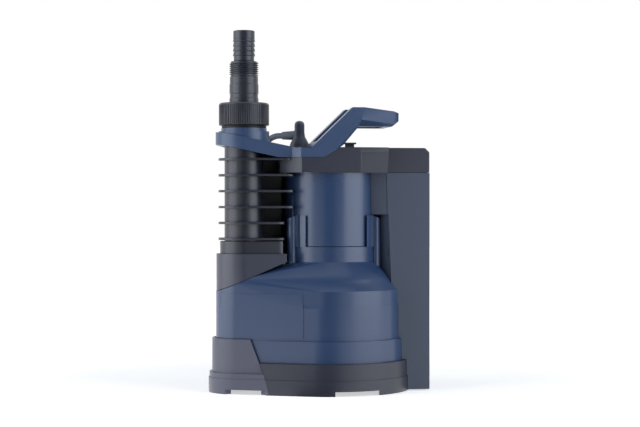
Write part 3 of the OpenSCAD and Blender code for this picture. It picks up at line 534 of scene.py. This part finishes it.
mouldings = {      # piece: CAD node, body, slot, finish, rounding in mm
    "suctionBase": ("suction_base", "pump", "dark_plastic", darkPlastic, 0.8),
    "baseEndPanel": ("base_end_panel", "pump", "dark_plastic", paintedLightPanelPlastic, 0.7),
    "pumpHousing": ("pump_housing", "pump", "blue_plastic", bluePlastic, 0.7),
    "motorShell": ("motor_shell", "pump", "blue_plastic", bluePlastic, 0.5),
    "topCover": ("top_cover", "pump", "dark_plastic", darkPlastic, 0.9),
    "modeLever": ("mode_lever", "lever", "dark_plastic", darkPlastic, 0.35),
    "floatHousing": ("float_housing", "pump", "slate_plastic", slatePlastic, 1.2),
    "floatCap": ("float_cap", "pump", "dark_plastic", darkPlastic, 1.0),
    "elbowCover": ("elbow_cover", "pump", "slate_plastic", greyPlastic, 0.8),
    "dischargePipe": ("discharge_pipe", "pump", "black_plastic", blackPlastic, 0.4),
    "carryHandle": ("carry_handle", "pump", "blue_plastic", handlePlastic, 1.6),
    "cableGland": ("cable_gland", "pump", "slate_plastic", slatePlastic, 0.6),
}
for name, given in mouldings.items():
    softCopy(name, *given)


def paintShadeOn(piece, test):      # faces that lie in shade are painted near-black: painted shade
    piece.data.materials.append(paintedShadePlastic)
    for face in piece.data.polygons:
        if test(face.center, face.normal):
            face.material_index = 1


# the web behind the discharge pipe's rings, painted near-black as painted shade
pipeSet = {"webFrom": -84, "webTo": -50, "webDeep": -14}
paintShadeOn(bpy.data.objects["dischargePipe"],
           lambda at, normal: pipeSet["webFrom"] * mm < at.x - motorX < pipeSet["webTo"] * mm
           and at.y > pipeSet["webDeep"] * mm and normal.y < -0.5)
print("mouldings rounded:", len(mouldings))


# pieces drawn as a profile, point by point, and spun round their axis
def drawProfile(name, points, along="Z"):      # (radius, place along the axis) in mm
    spots = [(r * mm, 0, h * mm) if along == "Z" else (h * mm, 0, r * mm) for r, h in points]
    bpy.ops.object.select_all(action="DESELECT")
    bpy.ops.mesh.primitive_plane_add(size=0.001, location=(0, 0, 0))
    piece = bpy.context.object
    piece.name = name
    edit(piece)
    bpy.ops.mesh.select_mode(type="VERT")
    bpy.ops.mesh.select_all(action="SELECT")
    bpy.ops.mesh.merge(type="CENTER")
    bpy.ops.transform.translate(value=spots[0])
    for one, two in zip(spots, spots[1:]):
        way = tuple(b - a for a, b in zip(one, two))
        bpy.ops.mesh.extrude_vertices_move(TRANSFORM_OT_translate={"value": way})
    return piece


def spinPiece(name, points, steps, along="Z"):
    piece = drawProfile(name, list(points) + [points[0]], along)
    bpy.ops.mesh.select_all(action="SELECT")
    axis = (0, 0, 1) if along == "Z" else (1, 0, 0)
    bpy.ops.mesh.spin(steps=steps, angle=2 * math.pi, center=(0, 0, 0), axis=axis)
    bpy.ops.mesh.select_all(action="SELECT")
    bpy.ops.mesh.remove_doubles(threshold=weldGap)
    bpy.ops.mesh.normals_make_consistent(inside=False)
    leave()
    return piece


outlet = (outletAt.x, outletAt.y, 0)

# hose tail: wide step, G1 thread and a barbed narrow step
tailSet = {
    "bottom": 314.9, "top": 406.8, "steps": 96, "bore": 9.5, "boreFrom": 355.9,
    "footBore": 14, "footBoreTo": 343.9, "foot": 23.6, "footTall": 5,
    "wide": 16.4, "wideTo": 346.2, "ring": (330.4, 335.9), "ringDeep": 0.5,
    "middle": 15.9, "middleTo": 354.6, "core": 15.0, "crest": 16.5, "crestHalf": 0.3, "footHalf": 0.95,
    "pitch": 2.309, "threadFrom": 356.4, "turns": 6, "turnSteps": 72, "threadTo": 371.8,
    "neck": 11.5, "neckFrom": 373, "barb": 12.5, "barbFrom": 378.2, "barbStep": 5.4, "barbs": 4,
    "mouth": 12.1, "mouthFrom": 397.6}


def hoseTailPoints(s):
    ringFrom, ringTo = s["ring"]
    ringWide = s["wide"] - s["ringDeep"]
    footTop = s["bottom"] + s["footTall"]
    line = [(s["footBore"], s["bottom"]), (s["foot"], s["bottom"]), (s["foot"], footTop),
            (s["wide"], footTop), (s["wide"], ringFrom), (ringWide, ringFrom + 0.5),
            (ringWide, ringTo - 0.5), (s["wide"], ringTo), (s["wide"], s["wideTo"]),
            (s["middle"], s["wideTo"] + 0.7), (s["middle"], s["middleTo"]),
            (s["core"], s["middleTo"] + 0.8), (s["core"], s["threadTo"]),
            (s["neck"], s["neckFrom"]), (s["neck"], s["barbFrom"] - 0.3)]
    for at in range(s["barbs"]):
        z = s["barbFrom"] + at * s["barbStep"]
        line += [(s["barb"] - 0.15, z), (s["barb"], z + 0.3), (s["barb"], z + 0.8),
                 (s["neck"], z + s["barbStep"] - 0.5)]
    return line + [(s["mouth"], s["mouthFrom"]), (s["mouth"], s["top"] - 0.8), (s["mouth"] - 0.6, s["top"]),
                   (s["bore"] + 0.5, s["top"]), (s["bore"], s["top"] - 0.5), (s["bore"], s["boreFrom"]),
                   (s["footBore"], s["footBoreTo"])]


def threadCoil(s):      # one turn's section wound up the core, its ends closed
    root = s["core"] - 0.3
    section = [(root, -s["footHalf"]), (s["crest"], -s["crestHalf"]), (s["crest"], s["crestHalf"]),
               (root, s["footHalf"])]
    coil = drawProfile("threadCoil", section + section[:1])
    bpy.ops.mesh.select_all(action="SELECT")
    bpy.ops.mesh.remove_doubles(threshold=weldGap)
    bpy.ops.transform.translate(value=(0, 0, s["threadFrom"] * mm))
    leave()
    applyModifier(coil, "SCREW", axis="Z", angle=2 * math.pi, screw_offset=s["pitch"] * mm,
                  iterations=s["turns"], steps=s["turnSteps"], use_merge_vertices=False)
    edit(coil)
    bpy.ops.mesh.select_all(action="SELECT")
    bpy.ops.mesh.fill_holes(sides=6)
    bpy.ops.mesh.select_all(action="SELECT")
    bpy.ops.mesh.normals_make_consistent(inside=False)
    leave()
    return coil


hoseTail = spinPiece("hoseTail", hoseTailPoints(tailSet), tailSet["steps"])
hoseTail = joinPieces(hoseTail, threadCoil(tailSet))
moveMesh(hoseTail, outlet)
roundEdges(hoseTail, 0.15, 1, 35)
finishPiece(hoseTail, "tail", blackPlastic, ("hose_tail",))

# union nut: fine grip ribs all round, cut inwards, and a lower edge stepped in
nutSet = {
    "bottom": 296.9, "top": 325.1, "radius": 28.3, "bore": 24.08, "boreTo": 320.2, "neck": 16.6, "rim": 1.5,
    "skirt": 25.2, "step": 2.4, "ribs": 72, "ribFrom": 300.4, "ribTo": 322.8, "depth": 0.85}


def modelNut(s):
    nut = spinPiece("unionNut", [
        (s["bore"], s["bottom"]), (s["skirt"], s["bottom"]), (s["skirt"], s["bottom"] + s["step"]),
        (s["radius"] - 0.6, s["bottom"] + s["step"] + 0.5), (s["radius"], s["ribFrom"]),
        (s["radius"], s["ribTo"]), (s["radius"], s["top"] - s["rim"]), (s["radius"] - s["rim"], s["top"]),
        (s["neck"], s["top"]), (s["neck"], s["boreTo"]), (s["bore"], s["boreTo"])], s["ribs"] * 2)
    step = math.pi / s["ribs"]

    def everySecond(face):
        c = face.center
        outer = math.hypot(c.x, c.y) > (s["radius"] - 0.1) * mm
        ribbed = s["ribFrom"] * mm < c.z < s["ribTo"] * mm
        return outer and ribbed and int(round(math.atan2(c.y, c.x) / step - 0.5)) % 2 == 0
    selectWhere(nut, "FACE", everySecond)
    bpy.ops.mesh.extrude_region_shrink_fatten(TRANSFORM_OT_shrink_fatten={"value": -s["depth"] * mm})
    leave()
    moveMesh(nut, outlet)
    roundEdges(nut, 0.2, 1, 35)
    return nut


unionNut = finishPiece(modelNut(nutSet), "nut", blackPlastic, ("union_nut",))
# painted shade on the neck under the nut's lower edge
paintShadeOn(unionNut, lambda at, normal: at.z < (nutSet["bottom"] + nutSet["step"]) * mm)

# mains plug: a ribbed strain relief, a round body and two pins
plugSet = {
    "at": (0, 255, 45), "steps": 64, "core": 3.4, "reliefFrom": -27, "reliefRadius": 5, "reliefRings": 6,
    "ringStep": 4, "ringGrows": 0.75,
    "pinGap": 19, "pinRadius": 2.4, "pinFrom": 30, "pinTo": 48, "pinSteps": 24,
    "body": [(9.4, -2.6), (13, -0.8), (16.6, 3.4), (17, 6), (17, 11), (16, 13), (16, 21), (17, 23),
             (17, 28.6), (15.6, 30)]}


def modelPlug(s):
    line = [(s["core"], s["reliefFrom"])]
    for at in range(s["reliefRings"]):
        x = s["reliefFrom"] + at * s["ringStep"]
        r = s["reliefRadius"] + at * s["ringGrows"]
        line += [(r, x), (r + 0.6, x + 0.6), (r + 0.7, x + 2.4), (r - 0.3, x + 2.9)]
    plug = spinPiece("mainsPlug", line + s["body"] + [(s["core"], s["pinFrom"])], s["steps"], "X")
    pins = []
    for side in (-1, 1):
        pin = spinPiece("plugPin", [
            (0.4, s["pinFrom"] - 1), (s["pinRadius"], s["pinFrom"] - 1), (s["pinRadius"], s["pinTo"] - 1.4),
            (s["pinRadius"] - 0.9, s["pinTo"]), (0.4, s["pinTo"])], s["pinSteps"], "X")
        moveMesh(pin, (0, side * s["pinGap"] / 2 * mm, 0))
        pins.append(pin)
    plug = joinPieces(plug, *pins)
    moveMesh(plug, fromMotor(*s["at"]))
    roundEdges(plug, 0.4, 2, 30)
    return plug


mainsPlug = finishPiece(modelPlug(plugSet), "pump", blackPlastic, ("mains_plug",))

# cable tie: a strap round the coil, with its head on top
tieSet = {"middle": (63, 192), "wide": 51.4, "tall": 29.2, "breadth": 6, "thick": 1.2, "corner": 6,
          "head": (7, 8, 5), "headAt": 12, "headSunk": 1.4, "headSoft": 0.8}


def modelTie(s):
    tie = newBox("cableTie", (s["wide"], s["breadth"], s["tall"]))
    leave()
    selectWhere(tie, "FACE", lambda face: abs(face.normal.y) > 0.9)
    bpy.ops.mesh.delete(type="ONLY_FACE")
    leave()
    bevelWhere(tie, lambda one, two: abs(one.y - two.y) > 1 * mm, s["corner"], 5)
    applyModifier(tie, "SOLIDIFY", thickness=s["thick"] * mm, offset=-1)
    head = newBox("tieHead", s["head"])
    bpy.ops.mesh.bevel(offset=s["headSoft"] * mm, segments=2, affect="EDGES")
    leave()
    moveMesh(head, (s["headAt"] * mm, 0, (s["tall"] / 2 + s["head"][2] / 2 - s["headSunk"]) * mm))
    tie = joinPieces(tie, head)
    moveMesh(tie, fromMotor(*s["middle"], s["tall"] / 2))
    roundEdges(tie, 0.25, 1, 30)
    return tie


cableTie = finishPiece(modelTie(tieSet), "pump", blackPlastic, ("cable_tie",))

# screws: a domed head with a cross recess, modelled once and set in each hole
screwSet = {"head": 3.1, "tall": 2.3, "steps": 40, "recessLong": 3.6, "recessWide": 0.9, "recessTall": 1.3}


def modelScrew(s):
    screw = spinPiece("screwHead", [
        (0.2, 0), (s["head"] - 0.3, 0), (s["head"], 0.3), (s["head"], s["tall"] - 1.1),
        (s["head"] - 0.6, s["tall"] - 0.4), (s["head"] - 1.6, s["tall"]), (0.2, s["tall"])], s["steps"])
    for across in ((s["recessLong"], s["recessWide"]), (s["recessWide"], s["recessLong"])):
        cutter = newBox("recess", (*across, s["recessTall"]))
        bpy.ops.transform.translate(value=(0, 0, s["tall"] * mm))
        leave()
        cutWith(screw, cutter)
    bpy.ops.object.shade_smooth_by_angle(angle=math.radians(35))
    return screw


screwRows = {      # CAD node: the place under each head, in mm
    "cover_screws": [(-34, 42, 270.8), (34, 30, 270.8), (6, -46, 270.8)],
    "handle_screws": [(-46, -2, 270.6), (-46, -38, 270.6)]}
firstScrew = modelScrew(screwSet)
for node, places in screwRows.items():
    for number, place in enumerate(places, 1):
        screw = addObject(node.split("_")[0] + "Screw" + str(number), firstScrew.data.copy())
        moveMesh(screw, fromMotor(*place))
        finishPiece(screw, "pump", steel, (node,))
bpy.data.objects.remove(firstScrew)
print("spun pieces modelled")


# studio: a tall softbox on each side, a weak one above, white behind and below
studioSet = {
    "turn": -9, "leftTurn": -70, "rightTurn": 62, "boxDistance": 1.7, "boxWidth": 1.7, "boxHeight": 2.2,
    "boxMiddle": 0.85, "boxAim": 0.6, "boxPower": 31, "tint": (0.85, 0.915, 1),
    "topPlace": (0, 0.1, 1.9), "topAim": (0, 0, 0.2), "topWide": 1.4, "topLong": 1.2, "topPower": 5,
    "room": 0.12, "skyFrom": -0.05, "skyTo": 0.3,
    "floorSize": 12, "floorAlbedo": 0.82, "floorReflectedShade": 0.25, "floorNear": 0.55,
    "nearTo": 0.3, "farFrom": 1.1, "backFrom": -0.02, "backTo": 0.25,
    # each painted pool of light on the floor: the bearings it changes between in degrees, and its strength
    "paintedLeftPool": (-32, -18, 1.55), "paintedRightPool": (-2, 14, 1.3), "paintedPoolEnd": (75, 115, 0.5)}


def softLamp(name, place, aim, wide, tall, power):
    lamp = bpy.data.lights.new(name, "AREA")
    lamp.shape = "RECTANGLE"
    lamp.size = wide
    lamp.size_y = tall
    lamp.energy = power
    lamp.color = studioSet["tint"]
    holder = addObject(name, lamp)
    holder.location = place
    holder.rotation_euler = (Vector(aim) - Vector(place)).to_track_quat("-Z", "Y").to_euler()


def sideBox(name, around, s):
    a = math.radians(s["turn"] + around)
    place = (s["boxDistance"] * math.sin(a), -s["boxDistance"] * math.cos(a), s["boxMiddle"])
    softLamp(name, place, (0, 0, s["boxAim"]), s["boxWidth"], s["boxHeight"], s["boxPower"])


sideBox("leftBox", studioSet["leftTurn"], studioSet)
sideBox("rightBox", studioSet["rightTurn"], studioSet)
softLamp("topBox", studioSet["topPlace"], studioSet["topAim"], studioSet["topWide"], studioSet["topLong"],
         studioSet["topPower"])


def seenDirectly(tree):      # rays from the camera or through glass, and the glossy rays
    path = tree.nodes.new("ShaderNodeLightPath")
    direct = mathNode(tree, "MAXIMUM", path.outputs["Is Camera Ray"], path.outputs["Is Transmission Ray"])
    return direct, path.outputs["Is Glossy Ray"]


def splitPlace(tree, place):      # the three parts of a place or a direction
    split = tree.nodes.new("ShaderNodeSeparateXYZ")
    tree.links.new(place, split.inputs[0])
    return split.outputs


def studioWorld(s):      # the white backdrop stands behind the pump, and the room is dim all round
    world = bpy.data.worlds.new("studio")
    world.use_nodes = True
    tree = world.node_tree
    tree.nodes.clear()
    direct, glossy = seenDirectly(tree)
    split = splitPlace(tree, tree.nodes.new("ShaderNodeTexCoord").outputs["Generated"])
    behind = rangeNode(tree, split["Y"], s["skyFrom"], s["skyTo"], curve="SMOOTHSTEP")
    choose = tree.nodes.new("ShaderNodeMixShader")
    seen = mathNode(tree, "MAXIMUM", direct, mathNode(tree, "MULTIPLY", glossy, behind))
    tree.links.new(seen, choose.inputs["Fac"])
    for at, strength in ((1, s["room"]), (2, 1)):
        light = shadeNode(tree, "ShaderNodeBackground", Color=(1, 1, 1, 1), Strength=strength)
        tree.links.new(light.outputs[0], choose.inputs[at])
    output = tree.nodes.new("ShaderNodeOutputWorld")
    tree.links.new(choose.outputs[0], output.inputs["Surface"])
    return world


def paleFloor(s):      # diffuse, with a white glow that only direct rays see, so the shadow stays; in reflections from the front the floor shows painted shade and painted pools of light
    material = bpy.data.materials.new("paleFloor")
    material.use_nodes = True
    tree = material.node_tree
    tree.nodes.clear()
    direct, glossy = seenDirectly(tree)
    place = tree.nodes.new("ShaderNodeTexCoord").outputs["Object"]
    split = splitPlace(tree, place)
    far = shadeNode(tree, "ShaderNodeVectorMath", operation="LENGTH")
    tree.links.new(place, far.inputs[0])
    rise = rangeNode(tree, far.outputs["Value"], s["nearTo"], s["farFrom"], s["floorNear"], 1)
    back = rangeNode(tree, split["Y"], s["backFrom"], s["backTo"], curve="SMOOTHSTEP")
    mirrored = mathNode(tree, "MULTIPLY", glossy, back)      # reflections show white only behind the pump
    front = mathNode(tree, "SUBTRACT", glossy, mirrored)
    power = mathNode(tree, "MULTIPLY", mathNode(tree, "MAXIMUM", direct, mirrored), rise)
    bearing = mathNode(tree, "ARCTAN2", split["X"], mathNode(tree, "MULTIPLY", split["Y"], -1))

    def paintPool(name, low, high):      # a painted pool of light under each softbox: the floor glows there for reflections from the front
        begin, end, level = s[name]
        return rangeNode(tree, bearing, math.radians(begin), math.radians(end), low * level, high * level,
                         "SMOOTHSTEP")
    paintedLeftPool = paintPool("paintedLeftPool", 1, 0)
    paintedRightPool = paintPool("paintedRightPool", 0, 1)
    begin, end, level = s["paintedPoolEnd"]
    fade = rangeNode(tree, bearing, math.radians(begin), math.radians(end), 1, level, "SMOOTHSTEP")
    paintedPools = mathNode(tree, "ADD", paintedLeftPool, mathNode(tree, "MULTIPLY", paintedRightPool, fade))
    paint = tree.nodes.new("ShaderNodeBsdfDiffuse")
    glow = tree.nodes.new("ShaderNodeEmission")
    both = tree.nodes.new("ShaderNodeAddShader")
    out = tree.nodes.new("ShaderNodeOutputMaterial")
    # painted shade: glossy rays from the front see the floor in a darker colour
    tone = rangeNode(tree, front, 0, 1, s["floorAlbedo"], s["floorReflectedShade"])
    whole = mathNode(tree, "ADD", power, mathNode(tree, "MULTIPLY", paintedPools, front))
    tree.links.new(tone, paint.inputs["Color"])
    tree.links.new(whole, glow.inputs["Strength"])
    tree.links.new(paint.outputs[0], both.inputs[0])
    tree.links.new(glow.outputs[0], both.inputs[1])
    tree.links.new(both.outputs[0], out.inputs["Surface"])
    return material


bpy.context.scene.world = studioWorld(studioSet)
bpy.ops.object.select_all(action="DESELECT")
bpy.ops.mesh.primitive_plane_add(size=studioSet["floorSize"], location=(0, 0, 0))
floor = bpy.context.object
floor.name = "studioFloor"
floor.data.materials.append(paleFloor(studioSet))
bpy.context.scene.view_settings.view_transform = "Standard"
print("studio lit")
